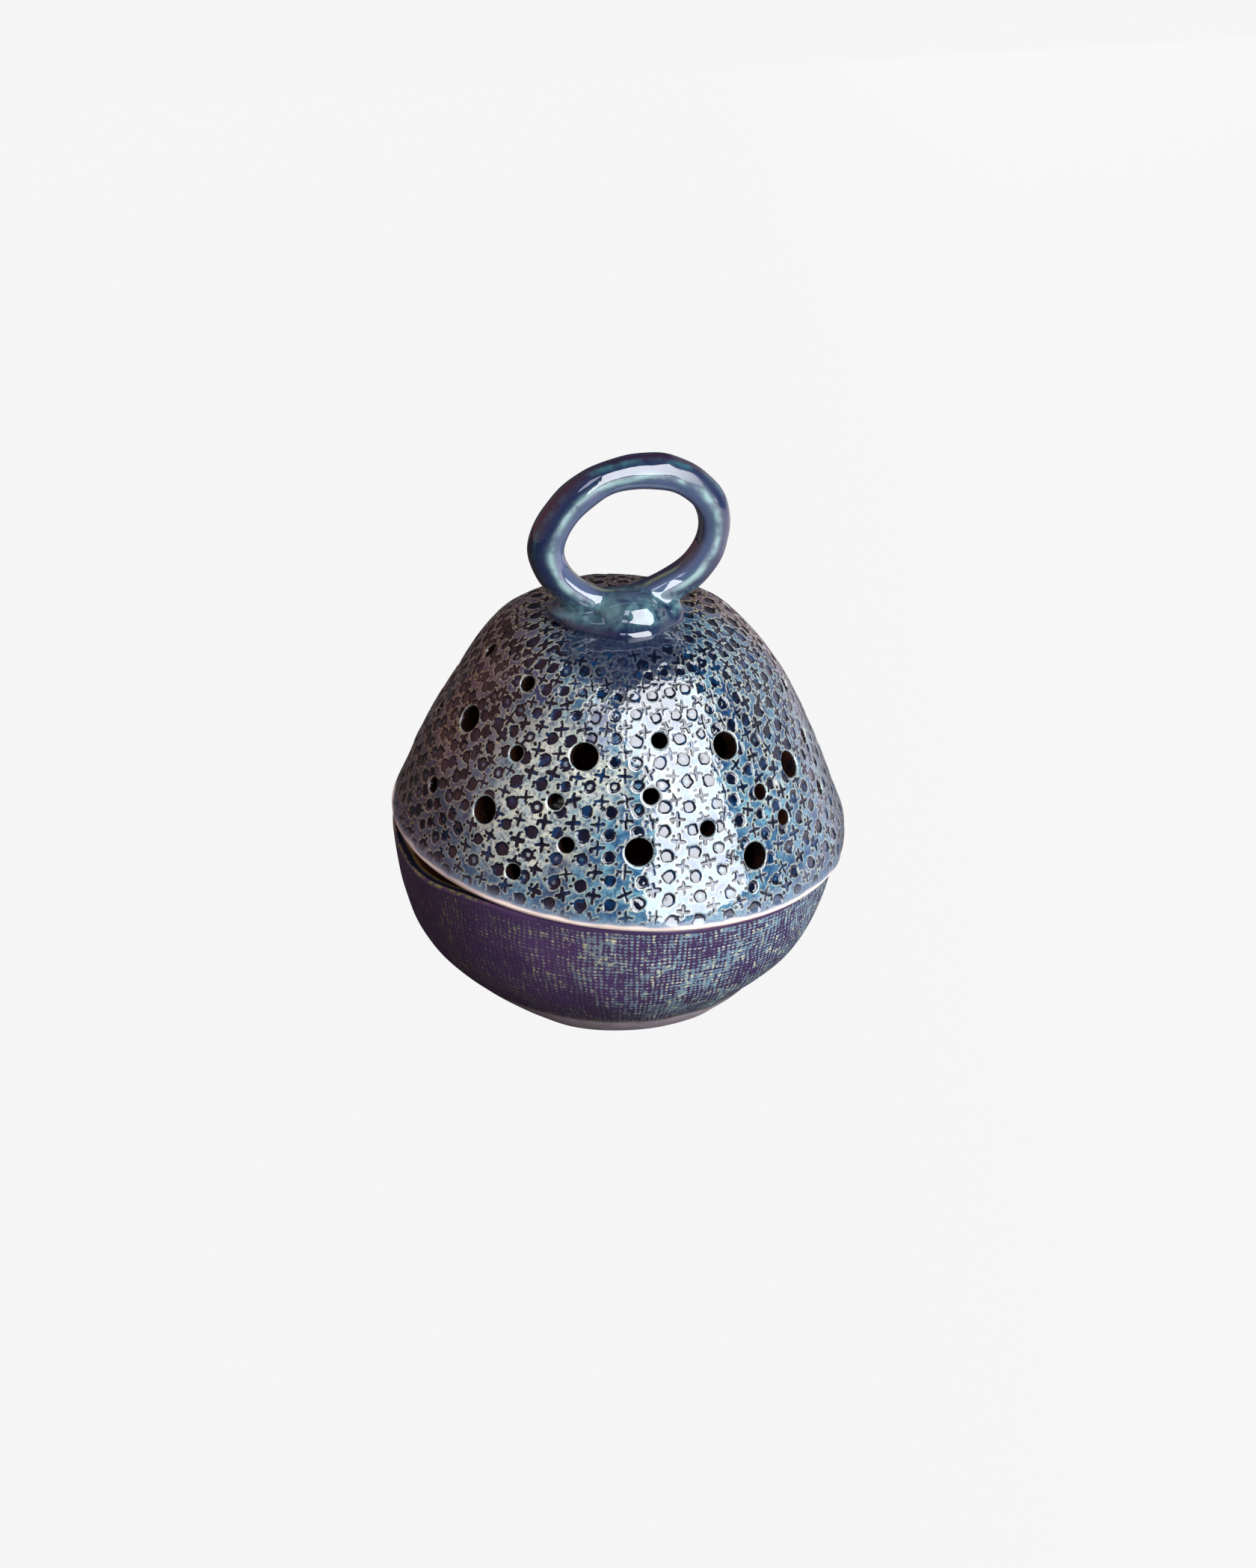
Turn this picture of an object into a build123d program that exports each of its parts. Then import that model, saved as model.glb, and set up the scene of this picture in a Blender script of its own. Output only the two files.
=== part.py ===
from build123d import *
import os
from math import cos, sin, radians

os.makedirs("parts", exist_ok=True)

# A hand-built stoneware crock: a slab bowl, and a pierced dome lid with a ring handle.
# Millimetres. +Z is up, the origin is the middle of the foot, and the front is -Y.
# Angles round the pot are degrees from the front, positive towards +X.

# Overall sizes
FOOT_R = 38.6            # flat foot that the bowl stands on
BOWL_R = 70.0            # outside of the bowl at its mouth
SEAM_Z = 57.0            # height of the seam between bowl and lid, at the pot's axis
SEAM_TILT = 5.2          # degrees, the seam is higher towards -X
DOME_RISE = 72.5         # seam to the crown of the lid
SEAM_GAP = 0.5           # air between the bowl's rim and the lid's edge
SPARE = 40.0             # how far cutting tools reach past what they cut

# Bowl
BOWL_WALL = 6.0
FOOT_SLAB = 7.0          # thickness of the slab that closes the bowl
RIM_DEEP = 7.0           # height of the coil that finishes the mouth
RIM_BEVEL = 2.5          # seat cut round the inside of the mouth
DIP_DEEP = 4.0           # sag of the rim at the front left
DIP_HALF = 41.0          # half the length of that sag, along the rim
DIP_AT = -55.0           # angle round the pot of the sag

# Lid
LID_OVERHANG = 2.2       # how far the lid's edge stands out past the bowl's mouth
LID_SHIFT = 0.4          # the lid sits this far towards +X
LID_LEAN = 1.6           # degrees that the dome leans towards +X
LID_R = BOWL_R + LID_OVERHANG
LID_WALL = 5.5
SKIRT_GAP = 2.0          # air between the locating skirt and the bowl, at its tightest
SKIRT_WALL = 5.0
SKIRT_DEEP = 7.0         # reach of the skirt below the seam
SKIRT_SEAT = 5.0         # height of the skirt's root above the seam

# Handle
PAD_LONG = 19.0          # half sizes of the clay pad under the ring
PAD_WIDE = 16.0
PAD_HIGH = 5.5
PAD_SINK = 3.0           # how far the pad's middle lies under the crown
PAD_X = -1.0
HANDLE_Y = -8.0          # the handle stands in front of the axis
RING_X = 0.6
RING_TURN = 15.0         # degrees that the ring's right side is turned back
COIL_R = 5.5

# Outline of the bowl: share of the seam's height, share of the way from foot to mouth
BOWL_SWELL = [(0, 0), (0.09, 0.2), (0.25, 0.49), (0.46, 0.8), (0.67, 0.93), (0.88, 0.98), (1.25, 1)]

# Outline of the dome: share of its rise, share of its radius at the edge
DOME_SWELL = [(-0.14, 0.992), (0, 1), (0.13, 0.953), (0.33, 0.873), (0.53, 0.773), (0.73, 0.65),
              (0.87, 0.532), (0.95, 0.421), (0.985, 0.31), (1, 0)]

# Centre line of the ring, across and up from the crown of the lid
RING_LINE = [(1, 3), (12.5, 7.2), (22, 14), (27.1, 27.5), (24, 36.5), (16, 42.3), (6.1, 44.6),
             (-7.7, 42.4), (-19, 34), (-24.2, 22), (-18.5, 10.5), (-10.5, 4.8)]

# Holes punched through the dome with two cutters: angle round the lid, share of the dome's rise
BIG_HOLE = 8.2
SMALL_HOLE = 4.8
BIG_HOLES = [(-60, 0.62), (-39, 0.36), (-11.5, 0.63), (5.7, 0.3), (37, 0.63), (38, 0.21), (61.5, 0.46),
             (106, 0.58), (132, 0.3), (151, 0.57), (176, 0.68), (204, 0.36), (229, 0.5), (262, 0.37)]
SMALL_HOLES = [(-89, 0.29), (-83, 0.55), (-76.5, 0.83), (-62.5, 0.33), (-40.4, 0.82), (-34.5, 0.59),
               (-26.9, 0.17), (-18.2, 0.46), (-13.6, 0.31), (9.5, 0.5), (13.6, 0.69), (25, 0.36),
               (45, 0.43), (51, 0.3), (74, 0.28), (80.5, 0.47), (86, 0.66), (97, 0.32), (119, 0.43),
               (127, 0.72), (163, 0.37), (179, 0.25), (190, 0.47), (212, 0.62), (238, 0.26),
               (246, 0.76), (254, 0.59)]

seam = Plane((0, 0, SEAM_Z), x_dir=(cos(radians(SEAM_TILT)), 0, -sin(radians(SEAM_TILT))),
             z_dir=(sin(radians(SEAM_TILT)), 0, cos(radians(SEAM_TILT))))


def export(shape, name):
    """Write one sub-part under its node name."""
    shape.label = name
    export_step(shape, f"parts/{name}.step")


def slab_between(low, high):
    """A wide slab that lies along the seam, from low to high above it."""
    wide = 2 * (LID_R + SPARE)
    return seam * Pos(0, 0, (low + high) / 2) * Box(wide, wide, high - low)


def inset(points, depth):
    """The same outline moved in by a wall, along the outline's own normals."""
    moved = []
    for i, (r, z) in enumerate(points):
        before, after = points[max(i - 1, 0)], points[min(i + 1, len(points) - 1)]
        along = Vector(after[0] - before[0], 0, after[1] - before[1]).normalized()
        moved.append((r - depth * along.Z, z + depth * along.X))
    return moved


def turned(points, low_z, high_z=None):
    """The solid of revolution inside an outline given as (radius, height) points."""
    line = [Vector(r, 0, z) for r, z in points]
    curve = Spline(*line)
    top = curve @ 1
    bottom = curve @ 0
    closing = [bottom, Vector(bottom.X, 0, low_z), Vector(0, 0, low_z), Vector(0, 0, top.Z), top]
    if high_z is not None:
        closing[3:] = [Vector(0, 0, high_z), Vector(top.X, 0, high_z), top]
    corners = [closing[0]]
    for corner in closing[1:]:
        if (corner - corners[-1]).length > 1e-6:
            corners.append(corner)
    outline = Wire([curve] + [Line(a, b) for a, b in zip(corners, corners[1:])])
    return revolve(Face(outline), Axis.Z)


# Bowl

def bowl_points():
    return [(FOOT_R + (BOWL_R - FOOT_R) * out, SEAM_Z * up) for up, out in BOWL_SWELL]


def bowl_inside():
    points = inset(bowl_points(), BOWL_WALL)
    points[0] = (FOOT_R - BOWL_WALL, -1)
    return turned(points, -1, SEAM_Z + SPARE)


def bowl_shell():
    """The whole wall of the bowl, open at the mouth and at the foot."""
    outside = turned(bowl_points(), 0)
    shell = outside - bowl_inside()
    shell -= slab_between(-SEAM_GAP / 2, SPARE)
    dip_r = (DIP_HALF ** 2 + DIP_DEEP ** 2) / (2 * DIP_DEEP)
    across = Rot(0, 0, DIP_AT) * Pos(0, -BOWL_R / 2 - SPARE / 2, dip_r - DIP_DEEP) * Rot(90, 0, 0)
    return shell - seam * across * Cylinder(dip_r, BOWL_R + SPARE)


def rim_seat():
    """A cone that bevels the inside of the mouth, along the seam."""
    mouth = BOWL_R - BOWL_WALL + RIM_BEVEL
    deep = 2 * RIM_BEVEL
    return seam * Pos(0, 0, -deep / 2) * Cone(mouth - deep, mouth, deep)


def bowl_wall():
    return bowl_shell() - slab_between(-RIM_DEEP, SPARE)


def rim_coil():
    return (bowl_shell() & slab_between(-RIM_DEEP, SPARE)) - rim_seat()


def bowl_base():
    return bowl_inside() & Pos(0, 0, FOOT_SLAB / 2) * Cylinder(BOWL_R, FOOT_SLAB)


# Lid

lid_place = Pos(LID_SHIFT, 0, SEAM_Z) * Rot(0, LID_LEAN, 0)


def dome_points():
    return [(LID_R * out, DOME_RISE * up) for up, out in DOME_SWELL]


def dome_outside():
    return lid_place * turned(dome_points(), dome_points()[0][1])


def dome_inside():
    points = inset(dome_points(), LID_WALL)
    points[-1] = (0, DOME_RISE - LID_WALL)
    low = points[0][1] - LID_WALL
    return lid_place * turned(points, low)


def hole_tool(angle, share, diameter):
    """A punch square to the dome's wall at a share of its rise."""
    height = share * DOME_RISE
    curve = Spline(*[Vector(r, 0, z) for r, z in dome_points()])
    low, high = 0.0, 1.0
    for _ in range(30):
        middle = (low + high) / 2
        if (curve @ middle).Z < height:
            low = middle
        else:
            high = middle
    along = curve % low
    punch = Plane(curve @ low, z_dir=Vector(along.Z, 0, -along.X))
    return lid_place * Rot(0, 0, angle - 90) * (punch * Cylinder(diameter / 2, 4 * LID_WALL))


def lid_dome():
    dome = dome_outside() - dome_inside() - slab_between(-SPARE, SEAM_GAP / 2)
    tools = [hole_tool(a, h, BIG_HOLE) for a, h in BIG_HOLES]
    tools += [hole_tool(a, h, SMALL_HOLE) for a, h in SMALL_HOLES]
    return dome - tools


def skirt_radius():
    """The skirt clears the bowl's wall at its lowest side, all round."""
    deepest = SEAM_Z - SKIRT_DEEP - LID_R * sin(radians(SEAM_TILT))
    inside = Spline(*[Vector(r, 0, z) for r, z in inset(bowl_points(), BOWL_WALL)])
    low, high = 0.0, 1.0
    for _ in range(30):
        middle = (low + high) / 2
        if (inside @ middle).Z < deepest:
            low = middle
        else:
            high = middle
    return (inside @ low).X - SKIRT_GAP


def lid_flange():
    """A coil luted under the dome: a root on the dome's wall, and a skirt in the bowl's mouth."""
    outer = skirt_radius()
    tall = 4 * SPARE
    root = dome_inside() & slab_between(SEAM_GAP / 2, SKIRT_SEAT)
    skirt = Pos(0, 0, SEAM_Z) * Cylinder(outer, tall) & slab_between(-SKIRT_DEEP, SEAM_GAP)
    return root + skirt - Pos(0, 0, SEAM_Z) * Cylinder(outer - SKIRT_WALL, tall)


# Handle

crown = lid_place * Pos(0, 0, DOME_RISE)


def pad_lump():
    place = crown * Pos(PAD_X, HANDLE_Y, -PAD_SINK)
    return place * scale(Sphere(1), by=(PAD_LONG, PAD_WIDE, PAD_HIGH + PAD_SINK))


def handle_pad():
    return pad_lump() - dome_outside()


def ring_whole():
    """A coil of clay bent round into a leaning oval."""
    upright = Plane((RING_X, HANDLE_Y, 0), x_dir=(cos(radians(RING_TURN)), sin(radians(RING_TURN)), 0),
                    z_dir=(sin(radians(RING_TURN)), -cos(radians(RING_TURN)), 0))
    line = Spline(*[upright.from_local_coords(spot) for spot in RING_LINE], periodic=True)
    start = Plane(line @ 0, z_dir=line % 0)
    return crown * sweep(start * Circle(COIL_R), path=line)


def handle_ring():
    return ring_whole() - pad_lump() - dome_outside()


export(bowl_wall(), "bowl_wall")
export(rim_coil(), "rim_coil")
export(bowl_base(), "bowl_base")
export(lid_dome(), "lid_dome")
export(lid_flange(), "lid_flange")
export(handle_pad(), "handle_pad")
export(handle_ring(), "handle_ring")
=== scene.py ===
from math import cos, pi, radians, sin, tan

import bpy
import numpy as np
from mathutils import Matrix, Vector


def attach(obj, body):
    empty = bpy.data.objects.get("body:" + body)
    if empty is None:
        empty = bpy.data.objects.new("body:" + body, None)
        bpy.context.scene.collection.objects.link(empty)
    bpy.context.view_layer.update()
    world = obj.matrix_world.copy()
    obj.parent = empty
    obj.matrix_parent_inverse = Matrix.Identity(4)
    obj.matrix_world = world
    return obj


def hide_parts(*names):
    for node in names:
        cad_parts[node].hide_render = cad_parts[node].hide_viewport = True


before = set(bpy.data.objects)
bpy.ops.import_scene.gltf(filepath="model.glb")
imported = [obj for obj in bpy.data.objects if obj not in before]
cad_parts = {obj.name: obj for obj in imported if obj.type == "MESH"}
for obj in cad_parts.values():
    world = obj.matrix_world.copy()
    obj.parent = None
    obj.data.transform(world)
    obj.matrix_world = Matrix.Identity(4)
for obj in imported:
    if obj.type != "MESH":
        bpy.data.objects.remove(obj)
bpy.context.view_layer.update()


# ---------------------------------------------------------------------------------------
# The table, the room and the camera.
# The crock stands on a white table. A large window is in front to the right, a small one is
# high in front, and a soft light that shows in no reflection fills the back.

mm = 0.001
middle_of_crock = Vector((0, 0, 80 * mm))

camera_rise = radians(28)
camera_far = 0.75
camera_data = bpy.data.cameras.new("camera")
camera_data.lens = 54.8
camera = bpy.data.objects.new("camera", camera_data)
looked_at = Vector((4.1 * mm, 0, 67.1 * mm))
camera.location = looked_at + camera_far * Vector((0, -cos(camera_rise), sin(camera_rise)))
camera.rotation_euler = (pi / 2 - camera_rise, 0, 0)
bpy.context.scene.collection.objects.link(camera)
bpy.context.scene.camera = camera
bpy.context.scene.view_settings.view_transform = "Standard"


def node(tree, kind, inputs=None, **settings):
    """A shader node with its settings, and its inputs from other nodes' sockets or plain values."""
    made = tree.nodes.new("ShaderNode" + kind)
    for name, value in settings.items():
        setattr(made, name, value)
    for name, value in (inputs or {}).items():
        if isinstance(value, bpy.types.NodeSocket):
            tree.links.new(value, made.inputs[name])
        else:
            made.inputs[name].default_value = value
    return made


def window(name, turn, rise, far, wide, tall, watts, colour):
    """A soft lit rectangle that faces the crock, at an angle from the front and a height angle."""
    lamp_data = bpy.data.lights.new(name, "AREA")
    lamp_data.shape = "RECTANGLE"
    lamp_data.size, lamp_data.size_y = wide, tall
    lamp_data.energy, lamp_data.color = watts, colour
    lamp = bpy.data.objects.new(name, lamp_data)
    way = Vector((sin(turn) * cos(rise), -cos(turn) * cos(rise), sin(rise)))
    lamp.location = middle_of_crock + far * way
    lamp.rotation_euler = way.to_track_quat("Z", "Y").to_euler()
    bpy.context.scene.collection.objects.link(lamp)
    return lamp


window("window_pane", radians(41), radians(29), 1.1, 1.0, 1.15, 24, (0.93, 0.95, 1.0))
window("side_pane", radians(-10), radians(47), 1.1, 0.26, 0.38, 0.9, (0.84, 0.82, 1.0))
far_wall = window("far_wall", radians(196), radians(14), 1.3, 2.0, 0.8, 16, (0.95, 0.93, 1.0))
far_wall.visible_glossy = False

room = bpy.data.worlds.new("room")
bpy.context.scene.world = room
room.use_nodes = True
walls = room.node_tree
walls.nodes.clear()
looking = node(walls, "TexCoord")
pale_side = node(walls, "VectorMath", {0: looking.outputs["Generated"], 1: (0.77, 0.64, 0)},
                 operation="DOT_PRODUCT")
pale_part = node(walls, "MapRange", {"Value": pale_side.outputs["Value"], "From Min": 0.72, "From Max": 0.97,
                                     "To Max": 0.6}, interpolation_type="SMOOTHSTEP")
warm_side = node(walls, "VectorMath", {0: looking.outputs["Generated"], 1: (-0.95, -0.1, 0.1)},
                 operation="DOT_PRODUCT")
warm_part = node(walls, "MapRange", {"Value": warm_side.outputs["Value"], "From Min": 0.1, "From Max": 0.95},
                 interpolation_type="SMOOTHSTEP")
warmed = node(walls, "Mix", {0: warm_part.outputs[0], 6: (0.035, 0.038, 0.05, 1), 7: (0.27, 0.14, 0.14, 1)},
              data_type="RGBA")
shade = node(walls, "Mix", {0: pale_part.outputs[0], 6: warmed.outputs[2], 7: (0.72, 0.66, 0.75, 1)},
             data_type="RGBA")
seen = node(walls, "LightPath")
lit = node(walls, "Background", {"Color": shade.outputs[2], "Strength": 1.0})
pale = node(walls, "Background", {"Color": (0.92, 0.92, 0.92, 1), "Strength": 1.0})
both = node(walls, "MixShader", {0: seen.outputs["Is Camera Ray"], 1: lit.outputs[0], 2: pale.outputs[0]})
node(walls, "OutputWorld", {0: both.outputs[0]})

table_half = 3.0
table_data = bpy.data.meshes.new("table")
corners = [(-table_half, -table_half, 0), (table_half, -table_half, 0),
           (table_half, table_half, 0), (-table_half, table_half, 0)]
table_data.from_pydata(corners, [], [(0, 1, 2, 3)])
table = bpy.data.objects.new("table", table_data)
bpy.context.scene.collection.objects.link(table)
white = bpy.data.materials.new("white_table")
white.use_nodes = True
paint = white.node_tree
paint.nodes.clear()
# The table glows evenly pale to the camera. Everywhere else its colour is painted light and shade: dark on
# the left as painted shade, and pale on the right as painted light where the window's light falls. The crock
# reflects both.
spread = node(paint, "SeparateXYZ", {0: node(paint, "TexCoord").outputs["Object"]})
painted_lit_right = node(paint, "MapRange", {"Value": spread.outputs[0], "From Min": 0.06, "From Max": 0.3},
                 interpolation_type="SMOOTHSTEP")
painted_light_and_shade = node(paint, "Mix", {0: painted_lit_right.outputs[0], 6: (0.075, 0.07, 0.075, 1), 7: (0.8, 0.74, 0.8, 1)},
             data_type="RGBA")
matt = node(paint, "BsdfDiffuse", {"Color": painted_light_and_shade.outputs[2]})
glow = node(paint, "Emission", {"Color": (0.935, 0.935, 0.935, 1), "Strength": 1.0})
lens = node(paint, "LightPath")
hidden = node(paint, "Math", {0: lens.outputs["Is Camera Ray"], 1: 0.98}, operation="MULTIPLY")
even = node(paint, "MixShader", {0: hidden.outputs[0], 1: matt.outputs[0], 2: glow.outputs[0]})
node(paint, "OutputMaterial", {0: even.outputs[0]})
table.data.materials.append(white)


# ---------------------------------------------------------------------------------------
# The bowl's wall.
# A slab of stoneware pressed on coarse linen and bent up into a bowl, glazed aubergine.
# Its foot is wiped thin, and the glaze breaks teal and cream on the print of the threads.

foot_r, bowl_r, seam_z = 38.6, 70.0, 57.0
seam_tilt = radians(5.2)
seam_slope = tan(seam_tilt)
bowl_wall = 6.0
seam_gap = 0.5
joint_deep = 7.0
joint_mark, rim_mark, inside_mark = 60, 66, 100
thread, thread_round_r = 1.45, 62
bowl_swell = [(0, 0), (0.09, 0.2), (0.25, 0.49), (0.46, 0.8), (0.67, 0.93), (0.88, 0.98), (1.25, 1)]


def smooth_line(points, closed=False, count=2000):
    """Many points at even steps along a cubic curve through a few."""
    p = np.array(list(points) + ([points[0]] if closed else []), float)
    step = np.linalg.norm(np.diff(p, axis=0), axis=1)
    at = np.concatenate([[0], np.cumsum(step)])
    n = len(p)
    slope = np.diff(p, axis=0) / step[:, None]
    system, right = np.zeros((n, n)), np.zeros_like(p)
    for i in range(1, n - 1):
        system[i, i - 1:i + 2] = step[i - 1], 2 * (step[i - 1] + step[i]), step[i]
        right[i] = 6 * (slope[i] - slope[i - 1])
    if closed:
        system[0, 0], system[0, -1] = 1, -1
        system[-1, :2] += 2 * step[0], step[0]
        system[-1, -2:] += step[-1], 2 * step[-1]
        right[-1] = 6 * (slope[0] - slope[-1])
    else:
        system[0, 0] = system[-1, -1] = 1
    bend = np.linalg.solve(system, right)
    t = np.linspace(0, at[-1], 4 * count)
    i = np.clip(np.searchsorted(at, t, side="right") - 1, 0, n - 2)
    h, a, b = step[i][:, None], (at[i + 1] - t)[:, None], (t - at[i])[:, None]
    line = (bend[i] * a ** 3 + bend[i + 1] * b ** 3) / (6 * h)
    line += (p[i] / h - bend[i] * h / 6) * a + (p[i + 1] / h - bend[i + 1] * h / 6) * b
    along = np.concatenate([[0], np.cumsum(np.linalg.norm(np.diff(line, axis=0), axis=1))])
    even_steps = np.linspace(0, along[-1], count)
    return np.stack([np.interp(even_steps, along, axis) for axis in line.T], 1), even_steps


def lumps(points, size, seed, waves=20):
    """Smooth unevenness, mostly from -1 to 1, over points in millimetres."""
    dice = np.random.default_rng(seed)
    way = dice.normal(size=(waves, 3))
    way *= (2 * pi / size * dice.uniform(0.6, 1.4, waves) / np.linalg.norm(way, axis=1))[:, None]
    start = dice.uniform(0, 2 * pi, waves)
    total = np.zeros(points.shape[:-1])
    for direction, phase in zip(way, start):
        total += np.cos(points @ direction + phase)
    return total / np.sqrt(waves)


def bump_at(turn, centre, half):
    """1 at an angle round the pot, easing to 0 at half that many degrees away."""
    off = np.abs((turn - centre + 180) % 360 - 180) / half
    return np.where(off < 1, np.cos(np.minimum(off, 1) * pi / 2) ** 2, 0)


def spot(turn, radius, z):
    """Points at angles from the front, radii and heights, in millimetres."""
    a = np.radians(turn)
    return np.stack([radius * np.sin(a), -radius * np.cos(a), z + 0 * a], -1)


def skin(name, rings, rides, replaced, closed=False):
    """A piece made of a stack of rings of points, each as long as the last, or half or twice it.
    A ring of one point closes an end, and closed joins the last ring to the first."""
    starts = np.cumsum([0] + [len(r) for r in rings])
    faces = []
    pairs = list(zip(range(len(rings) - 1), range(1, len(rings))))
    if closed:
        pairs.append((len(rings) - 1, 0))
    for low, high in pairs:
        n, m, a, b = len(rings[low]), len(rings[high]), starts[low], starts[high]
        i = np.arange(min(n, m) if min(n, m) > 1 else max(n, m))
        if n == m:
            j = (i + 1) % n
            faces += np.stack([a + i, a + j, b + j, b + i], 1).tolist()
        elif m == 1:
            faces += np.stack([a + i, a + (i + 1) % n, b + 0 * i], 1).tolist()
        elif n == 1:
            faces += np.stack([a + 0 * i, b + (i + 1) % m, b + i], 1).tolist()
        elif n == 2 * m:
            j = (i + 1) % m
            faces += np.stack([a + 2 * i, a + 2 * i + 1, a + 2 * j, b + j, b + i], 1).tolist()
        else:
            j = (i + 1) % n
            faces += np.stack([a + i, a + j, b + 2 * j, b + 2 * i + 1, b + 2 * i], 1).tolist()
    mesh = bpy.data.meshes.new(name)
    mesh.from_pydata((np.concatenate(rings) * mm).tolist(), [], faces)
    mesh.polygons.foreach_set("use_smooth", np.ones(len(mesh.polygons), bool))
    piece = bpy.data.objects.new(name, mesh)
    bpy.context.scene.collection.objects.link(piece)
    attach(piece, rides)
    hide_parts(*replaced)
    return piece


def ring_map(piece, around, up):
    """A UV map with millimetres round the pot and up the wall, from a value at each vertex."""
    mesh = piece.data
    corner = np.zeros(len(mesh.loops), int)
    mesh.loops.foreach_get("vertex_index", corner)
    total = np.zeros(len(mesh.polygons), int)
    mesh.polygons.foreach_get("loop_total", total)
    face = np.repeat(np.arange(len(total)), total)
    share = around[corner]
    most = np.zeros(len(total))
    np.maximum.at(most, face, share)
    share = share + ((most[face] - share) > 0.5)
    layer = mesh.uv_layers.new(name="round_the_pot")
    layer.data.foreach_set("uv", np.stack([share, up[corner]], 1).ravel())


bowl_line, _ = smooth_line([(foot_r + (bowl_r - foot_r) * out, seam_z * up) for up, out in bowl_swell])
bowl_turns = np.arange(720) * 0.5


def bowl_radius(turn, z):
    """The outside of the bowl, with the unevenness of a slab pressed by hand."""
    radius = np.interp(z, bowl_line[:, 1], bowl_line[:, 0])
    high = np.clip(z / seam_z, 0, 1)
    radius = radius + 1.5 * bump_at(turn, -60, 46) * high ** 3
    radius = radius + 0.5 * lumps(spot(turn, radius, z), 55, 3) + 0.16 * lumps(spot(turn, radius, z), 17, 4)
    flat = bump_at(turn, 52, 24) * np.exp(-((z - 15) / 9) ** 2)
    radius = radius - 1.6 * bump_at(turn, -62, 52) * np.exp(-((z - 2) / 8) ** 2)
    return radius - 1.1 * flat + 0.5 * bump_at(turn, 33, 7) * np.exp(-((z - 9) / 6) ** 2)


def seam_height(turn, radius):
    return seam_z - seam_slope * radius * np.sin(np.radians(turn))


def slope_out(z):
    """How much further a wall of even thickness reaches sideways where it leans."""
    lean = np.gradient(bowl_line[:, 0], bowl_line[:, 1])
    return np.sqrt(1 + np.interp(z, bowl_line[:, 1], lean) ** 2)


joint_z = seam_height(bowl_turns, bowl_r) - joint_deep
wall_rings = []
wall_up = []
foot_round = [(1.6, 0.0), (0.7, 0.25), (0.2, 0.8)]
for back, z in foot_round:
    wall_rings.append(spot(bowl_turns, bowl_radius(bowl_turns, z + 0 * bowl_turns) - back, z))
    wall_up.append(z)
for share in np.linspace(0.03, 1, 130):
    z = share * joint_z
    wall_rings.append(spot(bowl_turns, bowl_radius(bowl_turns, z), z))
    wall_up.append(share * joint_mark)
for share in np.linspace(1, 0.0, 50):
    z = share * joint_z
    inner = bowl_radius(bowl_turns, z) - bowl_wall * slope_out(z)
    wall_rings.append(spot(bowl_turns, inner, np.maximum(z, 0.2)))
    wall_up.append(inside_mark + share)
bowl_slab = skin("bowl_slab", wall_rings, "crock", ["bowl_wall"], closed=True)
ring_map(bowl_slab, np.tile(bowl_turns / 360, len(wall_rings)), np.repeat(wall_up, len(bowl_turns)))


def glaze_depth_group():
    """Cloudy colour, and the faint waviness of melted glass, shared by every glaze on the crock."""
    group = bpy.data.node_groups.new("Melted glaze", "ShaderNodeTree")
    face = group.interface
    for name, kind, value in [("Thin", "NodeSocketColor", (0.1, 0.1, 0.1, 1)),
                              ("Thick", "NodeSocketColor", (0.1, 0.1, 0.1, 1)),
                              ("Cloud size", "NodeSocketFloat", 12.0), ("Contrast", "NodeSocketFloat", 1.0)]:
        made = face.new_socket(name=name, in_out="INPUT", socket_type=kind)
        made.default_value = value
    for name, kind in [("Color", "NodeSocketColor"), ("Cloud", "NodeSocketFloat"),
                       ("Wave", "NodeSocketFloat")]:
        face.new_socket(name=name, in_out="OUTPUT", socket_type=kind)
    given = group.nodes.new("NodeGroupInput")
    place = node(group, "TexCoord")
    scale = node(group, "Math", {0: 1000.0, 1: given.outputs["Cloud size"]}, operation="DIVIDE")
    cloud = node(group, "TexNoise", {"Vector": place.outputs["Object"], "Scale": scale.outputs[0],
                                     "Detail": 5.0, "Roughness": 0.6, "Distortion": 0.6})
    spread = node(group, "Math", {0: cloud.outputs[0], 1: 0.5}, operation="SUBTRACT")
    spread = node(group, "Math", {0: spread.outputs[0], 1: given.outputs["Contrast"], 2: 0.5},
                  operation="MULTIPLY_ADD")
    spread.use_clamp = True
    mixed = node(group, "Mix", {0: spread.outputs[0], 6: given.outputs["Thin"], 7: given.outputs["Thick"]},
                 data_type="RGBA")
    wave = node(group, "TexNoise", {"Vector": place.outputs["Object"], "Scale": 260.0, "Detail": 3.0})
    out = group.nodes.new("NodeGroupOutput")
    group.links.new(mixed.outputs[2], out.inputs["Color"])
    group.links.new(spread.outputs[0], out.inputs["Cloud"])
    group.links.new(wave.outputs[0], out.inputs["Wave"])
    return group


melted_glaze = glaze_depth_group()


def glaze(tree, thin, thick, cloud_size, contrast):
    made = tree.nodes.new("ShaderNodeGroup")
    made.node_tree = melted_glaze
    made.inputs["Thin"].default_value = (*thin, 1)
    made.inputs["Thick"].default_value = (*thick, 1)
    made.inputs["Cloud size"].default_value = cloud_size
    made.inputs["Contrast"].default_value = contrast
    return made


def new_material(name):
    material = bpy.data.materials.new(name)
    material.use_nodes = True
    material.node_tree.nodes.clear()
    return material, material.node_tree


def math(tree, operation, *values, clamp=False):
    made = node(tree, "Math", dict(enumerate(values)), operation=operation, use_clamp=clamp)
    return made.outputs[0]


def times(tree, first, second, clamp=False):
    return math(tree, "MULTIPLY", first, second, clamp=clamp)


def scaled(tree, value, by, plus):
    return math(tree, "MULTIPLY_ADD", value, by, plus)


def rest_of(tree, value):
    """What is left of 1."""
    return math(tree, "SUBTRACT", 1.0, value)


def mix(tree, amount, first, second):
    """One colour over another. A plain colour is three numbers."""
    colours = [c if isinstance(c, bpy.types.NodeSocket) else (*c, 1) for c in (first, second)]
    made = node(tree, "Mix", {0: amount, 6: colours[0], 7: colours[1]}, data_type="RGBA")
    return made.outputs[2]


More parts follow.
